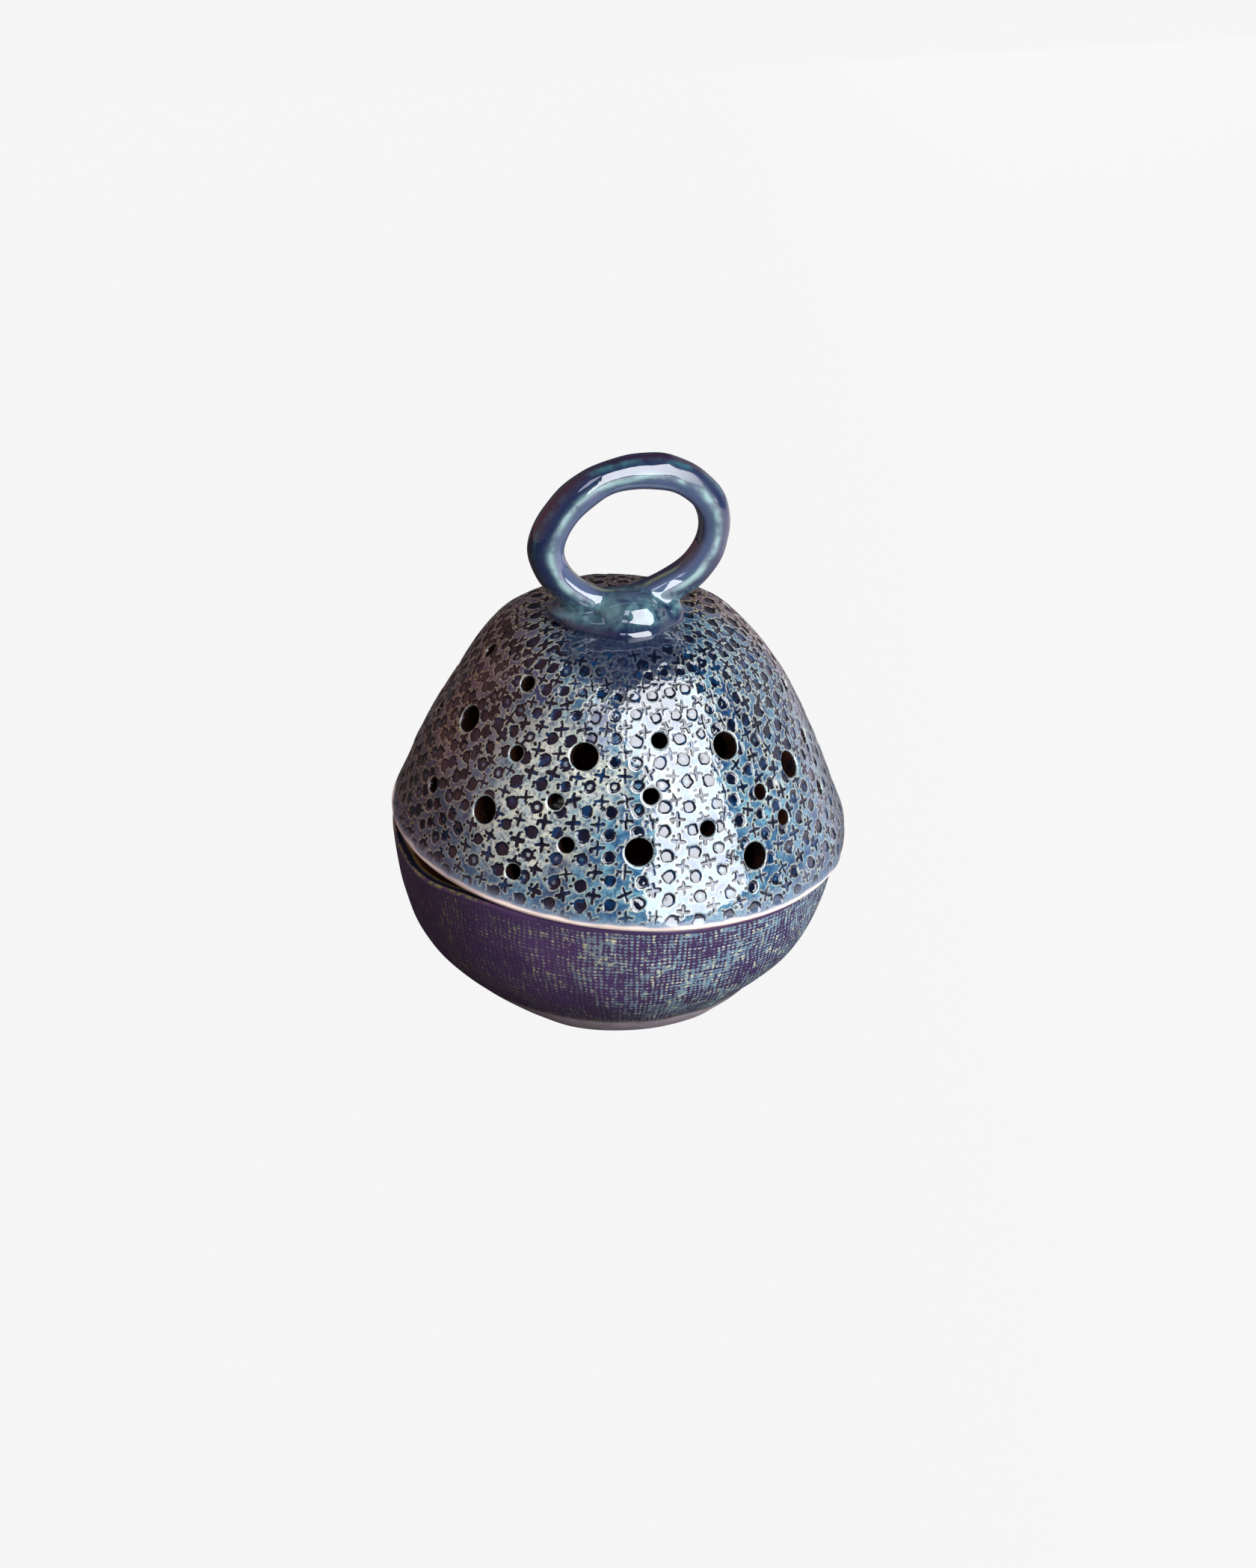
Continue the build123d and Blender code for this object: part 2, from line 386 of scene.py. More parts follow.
def coated(tree, colour, coats):
    """Coats of colour laid one over another, each with how much of it shows."""
    for amount, coat in coats:
        colour = mix(tree, amount, colour, coat)
    return colour


def fired(tree, sockets):
    """The fired surface, with its sockets' values, joined to the material's output."""
    shader = node(tree, "BsdfPrincipled", sockets)
    node(tree, "OutputMaterial", {0: shader.outputs[0]})


def ramp(tree, value, low, high):
    """0 below low, 1 above high, and eased between."""
    made = node(tree, "MapRange", {"Value": value, "From Min": low, "From Max": high},
                interpolation_type="SMOOTHSTEP")
    return made.outputs[0]


def noise(tree, size, detail=2.0, place=None, stretch=None, distortion=0.0):
    """Cloudy noise with a size in millimetres over the piece's own coordinates."""
    if place is None:
        place = node(tree, "TexCoord").outputs["Object"]
        scale = 1000.0 / size
    else:
        scale = 1.0 / size
    if stretch is not None:
        place = node(tree, "Mapping", {"Vector": place, "Scale": stretch}).outputs[0]
    made = node(tree, "TexNoise", {"Vector": place, "Scale": scale, "Detail": detail,
                                   "Distortion": distortion})
    return made.outputs[0]


def linen_material():
    """Aubergine glaze over the print of coarse linen: threads both ways, glaze broken on them."""
    material, tree = new_material("linen_pressed_glaze")
    uv = node(tree, "UVMap", uv_map="round_the_pot").outputs[0]
    parts = node(tree, "SeparateXYZ", {0: uv})
    around = times(tree, parts.outputs[0], 2 * pi * thread_round_r)
    up = parts.outputs[1]
    flat = node(tree, "CombineXYZ", {0: around, 1: up}).outputs[0]
    wander = noise(tree, 9.0, 3.0, place=flat)
    wander = scaled(tree, wander, 2.4, -1.2)
    warp = math(tree, "ADD", around, wander)
    warp = math(tree, "SINE", times(tree, warp, 2 * pi / thread))
    weft = math(tree, "ADD", up, wander)
    weft = math(tree, "SINE", times(tree, weft, 2 * pi / thread))
    warp_high = scaled(tree, warp, 0.5, 0.5)
    weft_high = scaled(tree, weft, 0.5, 0.5)
    warp_run = noise(tree, 1.15, 2.0, place=flat, stretch=(1.0, 0.2, 1), distortion=0.2)
    weft_run = noise(tree, 1.15, 2.0, place=flat, stretch=(0.2, 1.0, 1), distortion=0.2)
    weave_high = times(tree, warp_high, weft_high)
    plaid = math(tree, "MAXIMUM", warp_run, times(tree, weft_run, 0.97))
    both_runs = math(tree, "ADD", warp_run, weft_run)
    plaid = math(tree, "ADD", plaid, times(tree, both_runs, 0.5))
    plaid = math(tree, "ADD", plaid, times(tree, ramp(tree, weave_high, 0.12, 0.5), 0.3))
    object_place = node(tree, "TexCoord").outputs["Object"]
    sides = node(tree, "SeparateXYZ", {0: object_place})
    right = ramp(tree, sides.outputs[0], -0.045, 0.035)
    patches = noise(tree, 11.0, 4.0)
    needed = scaled(tree, right, -0.2, 1.31)
    needed = math(tree, "ADD", needed, scaled(tree, patches, -1.0, 0.5))
    broken = ramp(tree, math(tree, "SUBTRACT", plaid, needed), -0.04, 0.16)
    body = glaze(tree, (0.11, 0.05, 0.13), (0.056, 0.036, 0.105), 18.0, 1.6)
    dark = mix(tree, times(tree, right, 0.7), body.outputs["Color"], (0.04, 0.024, 0.075))
    teal = mix(tree, right, (0.13, 0.12, 0.11), (0.19, 0.3, 0.37))
    cream = mix(tree, right, (0.36, 0.33, 0.15), (0.62, 0.66, 0.46))
    thread_colour = mix(tree, ramp(tree, noise(tree, 1.6, 2.0), 0.5, 0.68), teal, cream)
    edge = math(tree, "ADD", times(tree, sides.outputs[2], 1000.0),
                times(tree, noise(tree, 5.0, 3.0), 2.4))
    foot = rest_of(tree, ramp(tree, edge, 13.0, 15.0))
    line = times(tree, times(tree, ramp(tree, edge, 13.4, 14.6),
                                       rest_of(tree, ramp(tree, edge, 15.0, 16.6))),
                ramp(tree, noise(tree, 2.0, 3.0), 0.42, 0.6))
    bare = glaze(tree, (0.8, 0.7, 0.72), (0.42, 0.33, 0.37), 7.0, 1.8)
    colour = coated(tree, dark, [(broken, thread_colour), (foot, bare.outputs["Color"]),
                                 (times(tree, line, 0.7), (0.3, 0.27, 0.13))])
    weave = times(tree, math(tree, "MAXIMUM", warp_high, weft_high),
                 rest_of(tree, foot))
    bump = node(tree, "Bump", {"Strength": 0.55, "Distance": 0.00018, "Height": weave})
    rough = scaled(tree, body.outputs["Wave"], 0.2, 0.27)
    fired(tree, {"Base Color": colour, "Roughness": rough,
                 "Normal": bump.outputs[0]})
    return material


linen = linen_material()
bowl_slab.data.materials.append(linen)
bowl_slab.data.set_sharp_from_angle(angle=radians(50))


# ---------------------------------------------------------------------------------------
# The coil round the mouth.
# A coil of clay luted on the slab and wiped over with a sponge, which left a shallow groove
# on its top, and inside it a slope for the lid to sit over. It sags at the front left.

dip_deep, dip_at, dip_half = 6.2, -68.0, 42.0
rim_outline, _ = smooth_line([(0.0, -2.0), (-0.12, -0.7), (-0.7, -0.05), (-1.5, -0.3), (-2.2, -0.38),
                              (-2.9, -0.1), (-3.7, -0.55), (-5.2, -2.0), (-6.6, -4.4)], count=40)
rim_z = seam_height(bowl_turns, bowl_r) - seam_gap / 2 - dip_deep * bump_at(bowl_turns, dip_at, dip_half)
rim_z = rim_z + 0.2 * lumps(spot(bowl_turns, bowl_r, rim_z), 30, 8) - 0.2
rim_r = bowl_radius(bowl_turns, rim_z)
coil_rings, coil_up = [], []
side_rings, rim_steps = 14, 40
for share in np.linspace(0, 1, side_rings):
    z = joint_z + share * (rim_z + rim_outline[0, 1] - joint_z)
    coil_rings.append(spot(bowl_turns, bowl_radius(bowl_turns, z), z))
    coil_up.append(joint_mark + (rim_mark - joint_mark) * share)
for back, up in rim_outline[1:]:
    coil_rings.append(spot(bowl_turns, rim_r + back, np.maximum(rim_z + up, joint_z + 0.2)))
    coil_up.append(rim_mark + up)
inner = bowl_radius(bowl_turns, joint_z) - bowl_wall * slope_out(joint_z)
coil_rings.append(spot(bowl_turns, inner, joint_z))
coil_up.append(joint_mark)
rim_coil = skin("rim_coil_smooth", coil_rings, "crock", ["rim_coil"], closed=True)
ring_map(rim_coil, np.tile(bowl_turns / 360, len(coil_rings)), np.repeat(coil_up, len(bowl_turns)))


def vertex_values(piece, name, values):
    layer = piece.data.attributes.new(name, "FLOAT", "POINT")
    layer.data.foreach_set("value", np.asarray(values, np.float32))


def marked(tree, name):
    """The value that vertex_values put on the piece under that name."""
    return node(tree, "Attribute", attribute_name=name).outputs["Fac"]


ring_no = np.repeat(np.arange(len(coil_rings)), len(bowl_turns))
rim_step = np.clip((ring_no - side_rings + 1) / rim_steps, 0, 1)
vertex_values(rim_coil, "over_the_rim", rim_step)
vertex_values(rim_coil, "sagged", np.tile(bump_at(bowl_turns, dip_at, dip_half + 6), len(coil_rings)))


def second_finish(piece, picks, number=1):
    """Gives a later material of the piece to the faces that a test picks."""
    for polygon in piece.data.polygons:
        polygon.material_index = number * int(picks(polygon))


def rim_material():
    """The linen glaze's plain aubergine, yellow-green where it thins on the two ridges of the rim,
    navy where it pools between them, and brown on the slope inside."""
    material, tree = new_material("rim_glaze")
    over = marked(tree, "over_the_rim")
    ragged = math(tree, "ADD", over, scaled(tree, noise(tree, 4.0, 3.0), 0.1, -0.05))
    body = glaze(tree, (0.11, 0.05, 0.13), (0.056, 0.036, 0.105), 18.0, 1.6)
    sagged = ramp(tree, marked(tree, "sagged"), 0.05, 0.4)
    thin = times(tree, ramp(tree, ragged, 0.08, 0.16), ramp(tree, noise(tree, 1.6, 3.0), 0.38, 0.56))
    colour = coated(tree, body.outputs["Color"], [(times(tree, thin, sagged), (0.27, 0.25, 0.09)),
                                                  (ramp(tree, ragged, 0.2, 0.26), (0.014, 0.02, 0.05)),
                                                  (ramp(tree, ragged, 0.38, 0.43), (0.3, 0.23, 0.06)),
                                                  (ramp(tree, ragged, 0.46, 0.54), (0.08, 0.03, 0.01))])
    bump = node(tree, "Bump", {"Strength": 0.4, "Distance": 0.0001, "Height": body.outputs["Wave"]})
    fired(tree, {"Base Color": colour, "Roughness": 0.28,
                 "Normal": bump.outputs[0]})
    return material


rim_coil.data.materials.append(linen)
rim_coil.data.materials.append(rim_material())
second_finish(rim_coil, lambda face: any(ring_no[v] >= side_rings for v in face.vertices))
rim_coil.data.set_sharp_from_angle(angle=radians(60))


# ---------------------------------------------------------------------------------------
# The slab that closes the foot.
# A disc of the same clay, scored and pressed into the bottom of the wall. Its top has the
# amber liner glaze, and its underside is bare clay.

base_top, floor_sunk, foot_hollow = 7.0, 1.2, 0.7
base_rings = []
rim_of_base = bowl_radius(bowl_turns, 0 * bowl_turns) - bowl_wall * slope_out(0.0)
top_of_base = bowl_radius(bowl_turns, base_top + 0 * bowl_turns) - bowl_wall * slope_out(base_top)
base_rings.append(np.array([[0, 0, foot_hollow]]))
for share in (0.2, 0.5, 0.8, 0.95, 1.0):
    base_rings.append(spot(bowl_turns, share * (rim_of_base - 0.1), foot_hollow * (1 - share ** 6)))
for share in np.linspace(0.2, 1, 6):
    ring_r = rim_of_base + (top_of_base - rim_of_base) * share
    base_rings.append(spot(bowl_turns, ring_r, base_top * share))
for share in (0.97, 0.93, 0.88, 0.8, 0.6, 0.3):
    sunk = floor_sunk * min((1 - share) / 0.12, 1)
    base_rings.append(spot(bowl_turns, share * top_of_base, base_top - sunk))
base_rings.append(np.array([[0, 0, base_top - floor_sunk]]))
bowl_floor = skin("bowl_floor", base_rings, "crock", ["bowl_base"])


def liner_material():
    """Dark amber glaze, thick and very shiny, on every inside surface."""
    material, tree = new_material("amber_liner_glaze")
    body = glaze(tree, (0.09, 0.03, 0.007), (0.014, 0.006, 0.004), 9.0, 2.2)
    bump = node(tree, "Bump", {"Strength": 0.3, "Distance": 0.0002, "Height": body.outputs["Wave"]})
    fired(tree, {"Base Color": body.outputs["Color"], "Roughness": 0.12,
                 "Normal": bump.outputs[0]})
    return material


def bare_clay_material():
    """Sanded toasted stoneware with fine iron specks."""
    material, tree = new_material("bare_stoneware")
    body = glaze(tree, (0.42, 0.27, 0.19), (0.26, 0.16, 0.12), 10.0, 1.5)
    specks = ramp(tree, noise(tree, 0.9, 1.0), 0.66, 0.72)
    colour = mix(tree, specks, body.outputs["Color"], (0.08, 0.04, 0.02))
    bump = node(tree, "Bump", {"Strength": 0.5, "Distance": 0.0002, "Height": noise(tree, 0.6, 3.0)})
    fired(tree, {"Base Color": colour, "Roughness": 0.8,
                 "Normal": bump.outputs[0]})
    return material


liner = liner_material()
bowl_floor.data.materials.append(bare_clay_material())
bowl_floor.data.materials.append(liner)
second_finish(bowl_floor, lambda face: face.center.z > (base_top - 2) * mm)
bowl_floor.data.set_sharp_from_angle(angle=radians(50))
bowl_slab.data.materials.append(liner)
up_wall = np.repeat(wall_up, len(bowl_turns))
inside_vertex = up_wall >= inside_mark
second_finish(bowl_slab, lambda face: all(inside_vertex[v] for v in face.vertices))


# ---------------------------------------------------------------------------------------
# The dome of the lid.
# A slab rolled on a mat of circles, crosses and dots, draped over a hump and pierced with two
# hole cutters. Its blue-grey glaze is cream where it breaks on edges and navy where it pools.

dome_rise, lid_r, lid_shift, lid_lean, lid_wall = 72.5, 72.2, 0.4, 1.6, 5.5
dome_swell = [(-0.14, 0.992), (0, 1), (0.13, 0.953), (0.33, 0.873), (0.53, 0.773), (0.73, 0.65),
              (0.87, 0.532), (0.95, 0.421), (0.985, 0.31), (1, 0)]
big_hole, small_hole = 8.2, 4.8
big_holes = [(-60, 0.62), (-39, 0.36), (-11.5, 0.63), (5.7, 0.3), (37, 0.63), (38, 0.21),
             (61.5, 0.46), (106, 0.58), (132, 0.3), (151, 0.57), (176, 0.68), (204, 0.36),
             (229, 0.5), (262, 0.37)]
small_holes = [(-89, 0.29), (-83, 0.54), (-76.5, 0.83), (-62.5, 0.33), (-40.4, 0.82), (-34.5, 0.59),
               (-26.9, 0.17), (-18.2, 0.46), (-13.6, 0.31), (9.5, 0.5), (13.6, 0.69), (25, 0.36),
               (45, 0.43), (51, 0.3), (74, 0.28), (80.5, 0.47), (86, 0.66), (97, 0.32), (119, 0.43),
               (127, 0.72), (163, 0.37), (179, 0.25), (190, 0.47), (212, 0.62), (238, 0.26),
               (246, 0.76), (254, 0.59)]

dome_line, dome_along = smooth_line([(lid_r * out, dome_rise * up) for up, out in dome_swell])
dome_along = dome_along - np.interp(0, dome_line[:, 1], dome_along)
flow = np.gradient(dome_line, axis=0)
flow /= np.linalg.norm(flow, axis=1)[:, None]
lean_c, lean_s = cos(radians(lid_lean)), sin(radians(lid_lean))
tilt_c, tilt_s = cos(seam_tilt), sin(seam_tilt)


def place_lid(points):
    """From the lid's own axis to the pot: leaned to the right and set on the seam."""
    x, y, z = points[..., 0], points[..., 1], points[..., 2]
    return np.stack([x * lean_c + z * lean_s + lid_shift, y, z * lean_c - x * lean_s + seam_z], -1)


def dome_point(turn, along, out=0.0):
    """A point on the outside of the dome, or off it by some millimetres."""
    r, z = (np.interp(along, dome_along, axis) for axis in dome_line.T)
    fr, fz = (np.interp(along, dome_along, axis) for axis in flow.T)
    return spot(turn, r + out * fz, z - out * fr)


columns, row = 49, 6.8
ring_half, cross_half, cross_reach, dot_half = 1.8, 0.44, 1.9, 0.4
out_of_place, soft_edge, stamp_deep = 0.35, 0.38, 0.44


def pattern(column, wide, along, size, twice):
    """The stamps on the mat, over places given in columns of some width and in millimetres along.
    twice is how much of a second pressing shows. Gives how deep each place is pressed, how much
    glaze pools there, how far it is from the nearest edge, and where the edges are steep."""
    dice = np.random.default_rng(11)
    rows = 24
    press = np.zeros_like(along)
    pool = np.zeros_like(along)
    near = np.full_like(along, 9.0)
    wall = np.zeros_like(along)
    flat = np.stack([column * wide, along, 0 * along], -1)
    ragged = [0.16 * lumps(flat, 2.6, 61), 0.16 * lumps(flat, 2.6, 62)]
    layers = [("ring", 0.0, 0.0, 1.0), ("cross", 0.5, 0.45, 1.0), ("dot", 0.25, 0.28, 1.0),
              ("dot", 0.77, 0.12, 1.0), ("dot", 0.3, 0.72, 0.8), ("dot", 0.72, 0.86, 0.8),
              ("ring", 0.42, 0.3, 0.0)]
    for kind, shift_turn, shift_row, everywhere in layers:
        wobble = dice.normal(0, 1, (columns, rows, 3))
        chance = dice.uniform(0, 1, (columns, rows, 3))
        k0 = np.floor(column - shift_turn + 0.5).astype(int)
        j0 = np.floor(along / row - shift_row + 0.5).astype(int)
        for dk in (-1, 0, 1):
            for dj in (-1, 0, 1):
                k, j = k0 + dk, j0 + dj
                kk, jj = k % columns, (j + 4) % rows
                dx = (column - k - shift_turn) * wide - out_of_place * wobble[kk, jj, 0] + ragged[0]
                dy = along - (j + shift_row) * row - out_of_place * wobble[kk, jj, 1] + ragged[1]
                spin = 0.18 * wobble[kk, jj, 2]
                dx, dy = dx * np.cos(spin) + dy * np.sin(spin), dy * np.cos(spin) - dx * np.sin(spin)
                if kind == "ring":
                    far = np.hypot(dx, dy) / size
                    off = (far - ring_half - 0.12 * wobble[kk, jj, 2]) * size
                    hollow = np.clip((far - 0.5) / 0.9, 0, 1) ** 1.5
                    open_eye = chance[kk, jj, 1] < 0.28
                    ink = np.where(open_eye, 0.1 + 0.9 * hollow, 0.7 + 0.3 * hollow)
                elif kind == "cross":
                    ax, ay = np.abs(dx) / size, np.abs(dy) / size
                    arms = np.minimum(np.hypot(np.maximum(ax - cross_reach, 0), ay) + 0.06 * ax,
                                      np.hypot(ax, np.maximum(ay - cross_reach, 0)) + 0.06 * ay)
                    off = (arms - cross_half - 0.08 * wobble[kk, jj, 1]) * size
                    ink = 1.0
                else:
                    off = np.hypot(dx, dy) - dot_half
                    ink = 0.9
                deep = 0.65 + 0.5 * chance[kk, jj, 0]
                sunk = {"ring": 1.0, "cross": 0.4, "dot": 0.35}[kind]
                if everywhere == 0.0:
                    deep = deep * twice
                elif everywhere < 1.0:
                    deep = deep * (chance[kk, jj, 2] < everywhere)
                inside = np.clip(0.5 - off / soft_edge, 0, 1) * deep
                wall = np.maximum(wall, np.exp(-(off / 0.27) ** 2) * np.minimum(deep, 1))
                press = np.maximum(press, inside * sunk)
                pool = np.maximum(pool, inside * ink)
                near = np.where((deep > 0.2) & (np.abs(off - 0.2) < np.abs(near)), off - 0.2, near)
    return press, pool, near, wall


def hole_spots():
    for holes, wide in ((big_holes, big_hole), (small_holes, small_hole)):
        for turn, share in holes:
            height = share * dome_rise
            yield turn, np.interp(height, dome_line[:, 1], dome_along), wide / 2


def to_hole(turn, along):
    """How far each point is outside the edge of the nearest hole."""
    radius = np.interp(along, dome_along, dome_line[:, 0])
    nearest = np.full_like(along, 50.0)
    for at_turn, at_along, half in hole_spots():
        dx = np.radians((turn - at_turn + 180) % 360 - 180) * radius
        nearest = np.minimum(nearest, np.hypot(dx, along - at_along) - half)
    return nearest


pad_at = np.array([-1.0, -8.0])
creams = [(-24, 52, 17, 17, 0.75), (-26, 27, 19, 17, 1.0), (-8, 44, 15, 13, 0.8), (-42, 50, 10, 12, 0.6),
          (12, 40, 10, 16, 0.5), (52, 36, 12, 12, 0.45), (160, 30, 30, 20, 0.6), (230, 40, 24, 16, 0.5)]
skies = [(9, 9, 4.5, 5, 1.0), (5.5, 20, 3, 8, 0.6), (-13, 30, 1.5, 7, 0.5), (24, 5, 6, 3, 0.5)]
pools = [(50, 60, 26, 15, 0.85), (-30, 64, 22, 9, 0.7), (76, 42, 12, 18, 0.5), (-15, 17, 3.4, 15, 1.0),
         (-17, 36, 2.6, 9, 0.6), (-41, 7, 16, 7, 0.55), (80, 10, 10, 11, 1.1),
         (14, 5, 14, 4, 0.5), (60, 4, 16, 4, 0.7), (0, 62, 34, 5, 0.7), (36, 64, 14, 6, 0.6),
         (-6, 44, 4, 5, 0.35), (33, 46, 5, 8, 0.5), (48, 14, 7, 6, 0.35), (130, 12, 20, 9, 0.8),
         (200, 9, 26, 8, 0.7), (255, 14, 16, 10, 0.7), (165, 50, 12, 14, 0.5), (-100, 8, 18, 7, 0.6)]


def patches(turn, along, spots):
    """Soft-edged spots at angles and heights up the wall, each with a width, a height and a strength."""
    total = np.zeros_like(along)
    for at, high, wide, tall, much in spots:
        off = ((turn - at + 180) % 360 - 180) / wide
        total = np.maximum(total, much * np.exp(-off ** 2 - ((along - high) / tall) ** 2))
    return total


def dome_surface(turn, along):
    """Relief, and the values that the glaze is painted from, over the outside of the dome."""
    flat = dome_point(turn, along)
    radius = np.interp(along, dome_along, dome_line[:, 0])
    sway = 1.3 * np.sin(turn * pi / 90 + 0.6) + 0.7 * np.sin(turn * pi / 36 + along / 30)
    twice = np.clip(2.4 * bump_at(turn, -76, 34) + 1.4 * bump_at(turn, 170, 40), 0, 1)
    layers = pattern((turn + 1.7) * columns / 360, np.radians(360 / columns) * radius, along - sway,
                     np.clip(radius / 50, 0.86, 1.0), twice)
    if along.min() > 40:
        over = np.clip((34 + 1.5 * np.sin(np.radians(5 * turn)) - radius) / 1.5, 0, 1)
        top_layers = pattern(flat[..., 0] / 6.6, 6.6, flat[..., 1] + 40, 0.95, 0 * turn)
        layers = [side * (1 - over) + top * over for side, top in zip(layers, top_layers)]
    press, pool, near, wall = layers
    from_pad = np.hypot(flat[..., 0] - pad_at[0], (flat[..., 1] - pad_at[1]) * 0.9)
    front = bump_at(turn, 8, 75)
    wiped = np.clip((19 + 11 * front + 2 * lumps(flat, 18, 31) - from_pad) / 10, 0, 1)
    edge = along - edge_along(turn)
    calm = (1 - 0.97 * wiped) * np.clip((edge - 1.6) / 1.8, 0, 1)
    hole = to_hole(turn, along)
    calm = calm * np.clip((hole - 0.3) / 0.5, 0, 1)
    patchy = np.clip(0.95 + 0.4 * lumps(flat, 24, 21), 0.5, 1)
    press, pool = press * calm * patchy, pool * calm * patchy
    ridge = np.exp(-((near - 0.1) / 0.2) ** 2) * calm
    relief = -stamp_deep * press + 0.02 * ridge
    relief = relief + 0.45 * lumps(flat, 42, 1) + 0.07 * lumps(flat, 13, 2) + 0.01 * lumps(flat, 4.5, 5)
    roundness = 0.75
    fall = np.clip(roundness - hole, 0, roundness)
    relief = relief - (roundness - np.sqrt(np.maximum(roundness ** 2 - fall ** 2, 0)))
    brushed = np.clip((19 + 19 * front + 3 * lumps(flat, 18, 31) - from_pad) / 9, 0, 1)
    lip = np.maximum(ridge * (1 - 0.65 * brushed), 0.85 * np.exp(-((hole - 0.35) / 0.34) ** 2))
    bare = np.clip(1 - (edge - 1.3 - 0.25 * lumps(flat, 9, 63)) / 0.7, 0, 1)
    placed = place_lid(flat)
    # Plum glaze towards the upper left and on the crown's far side. On the left it is partly painted shade:
    # the side away from the window is made darker.
    plum_and_painted_shade = np.clip((-placed[..., 0] + 0.6 * (placed[..., 2] - 98) - 27) / 24, 0, 1)
    behind = 0.9 * np.clip((placed[..., 1] + 8) / 12, 0, 1) * np.clip((along - 30) / 30, 0, 1)
    return relief, {"pooled": pool, "steep": wall * calm * patchy, "lip": lip,
                    "plum_and_painted_shade": np.maximum(plum_and_painted_shade, behind), "brushed": brushed,
                    "navy": patches(turn, along, pools), "creamy": patches(turn, along, creams),
                    "sky": patches(turn, along, skies), "bare": bare,
                    "edge_fade": np.exp(-(edge / 2.6) ** 2)}


seam_steps = np.linspace(dome_along[0], 16, 300)


def edge_along(turn):
    """Where the dome's wall meets the seam, along the wall."""
    ends = np.arange(0, 361, 2.0)
    found = []
    for one in ends:
        points = place_lid(dome_point(one + 0 * seam_steps, seam_steps))
        above = points[:, 0] * tilt_s + (points[:, 2] - seam_z) * tilt_c - seam_gap / 2
        found.append(np.interp(0, above, seam_steps))
    return np.interp(turn % 360, ends, found)


across_wall = 1280
corner = 1.1
turns = np.arange(across_wall) * 360 / across_wall
edge_start = edge_along(turns)
top_along = dome_along[-1]
narrow_at = [np.interp(-r, -dome_line[:, 0], dome_along) for r in (36.0, 18.0)]
dome_rings, painted = [], []


def add_ring(points, values=None):
    """A ring of the dome, in the lid's own place. Without values, it is on the inside."""
    dome_rings.append(place_lid(points))
    painted.append(values or {"inner": np.ones(len(points))})


inside_up = 23.0
add_ring(np.array([[0, 0, dome_rise - lid_wall]]))
for count, start, stop, rows in ((320, top_along - 3, narrow_at[0], 24),
                                 (640, narrow_at[0] - 2, inside_up + 2, 14)):
    some = np.arange(count) * 360 / count
    for along in np.linspace(start, stop, rows):
        add_ring(dome_point(some, along + 0 * some, -lid_wall))
for share in np.linspace(0, 1, 20):
    along = inside_up + (edge_start + corner - inside_up) * share
    add_ring(dome_point(turns, along, -lid_wall))
for angle in (30, 60, 90):
    back = corner * (1 - cos(radians(angle)))
    add_ring(dome_point(turns, edge_start + corner * (1 - sin(radians(angle))), -lid_wall + back),
             {"bare": np.ones(across_wall), "inner": np.ones(across_wall)})
for angle in (90, 70, 50, 30, 10):
    back = corner * (1 - cos(radians(angle)))
    add_ring(dome_point(turns, edge_start + corner * (1 - sin(radians(angle))), -back),
             {"bare": np.ones(across_wall)})
row_step = 0.36
for count, start, stop in ((1280, None, narrow_at[0]), (640, narrow_at[0], narrow_at[1]),
                           (320, narrow_at[1], top_along)):
    some = np.arange(count) * 360 / count
    low = edge_start + corner if start is None else start + row_step
    length = stop - float(np.mean(low))
    steps = max(int(length / row_step), 2)
    for share in np.arange(steps) / steps:
        along = low + (stop - low) * share + 0 * some
        relief, values = dome_surface(some, along)
        add_ring(dome_point(some, along, relief), values)
add_ring(np.array([[0, 0, dome_rise]]), {"brushed": np.ones(1)})
dome = skin("dome_wall", dome_rings, "lid", ["lid_dome"])
for name in ("pooled", "steep", "lip", "plum_and_painted_shade", "brushed", "navy", "creamy", "sky", "bare", "edge_fade",
             "inner"):
    parts = [values.get(name, 0) + np.zeros(len(ring)) for values, ring in zip(painted, dome_rings)]
    vertex_values(dome, name, np.concatenate(parts))


def punch():
    """All the hole cutters as one mesh, each square to the wall."""
    sides = 56
    spin = np.arange(sides) * 360 / sides
    verts, faces = [], []
    for turn, along, half in hole_spots():
        base = dome_point(np.array(turn * 1.0), np.array(along))
        out = dome_point(np.array(turn * 1.0), np.array(along), 1.0) - base
        level = spot(np.array(turn + 90.0), 1.0, 0.0)
        up = np.cross(out, level)
        circle = np.outer(np.cos(np.radians(spin)), level) + np.outer(np.sin(np.radians(spin)), up)
        first = len(verts)
        for reach in (-2.2 * lid_wall, 4.0):
            verts += place_lid(base + out * reach + half * circle).tolist()
        faces.append([first + i for i in reversed(range(sides))])
        faces.append([first + sides + i for i in range(sides)])
        for i in range(sides):
            j = (i + 1) % sides
            faces.append([first + i, first + j, first + sides + j, first + sides + i])
    mesh = bpy.data.meshes.new("hole_cutters")
    mesh.from_pydata((np.array(verts) * mm).tolist(), [], faces)
    cutter = bpy.data.objects.new("hole_cutters", mesh)
    bpy.context.scene.collection.objects.link(cutter)
    return cutter


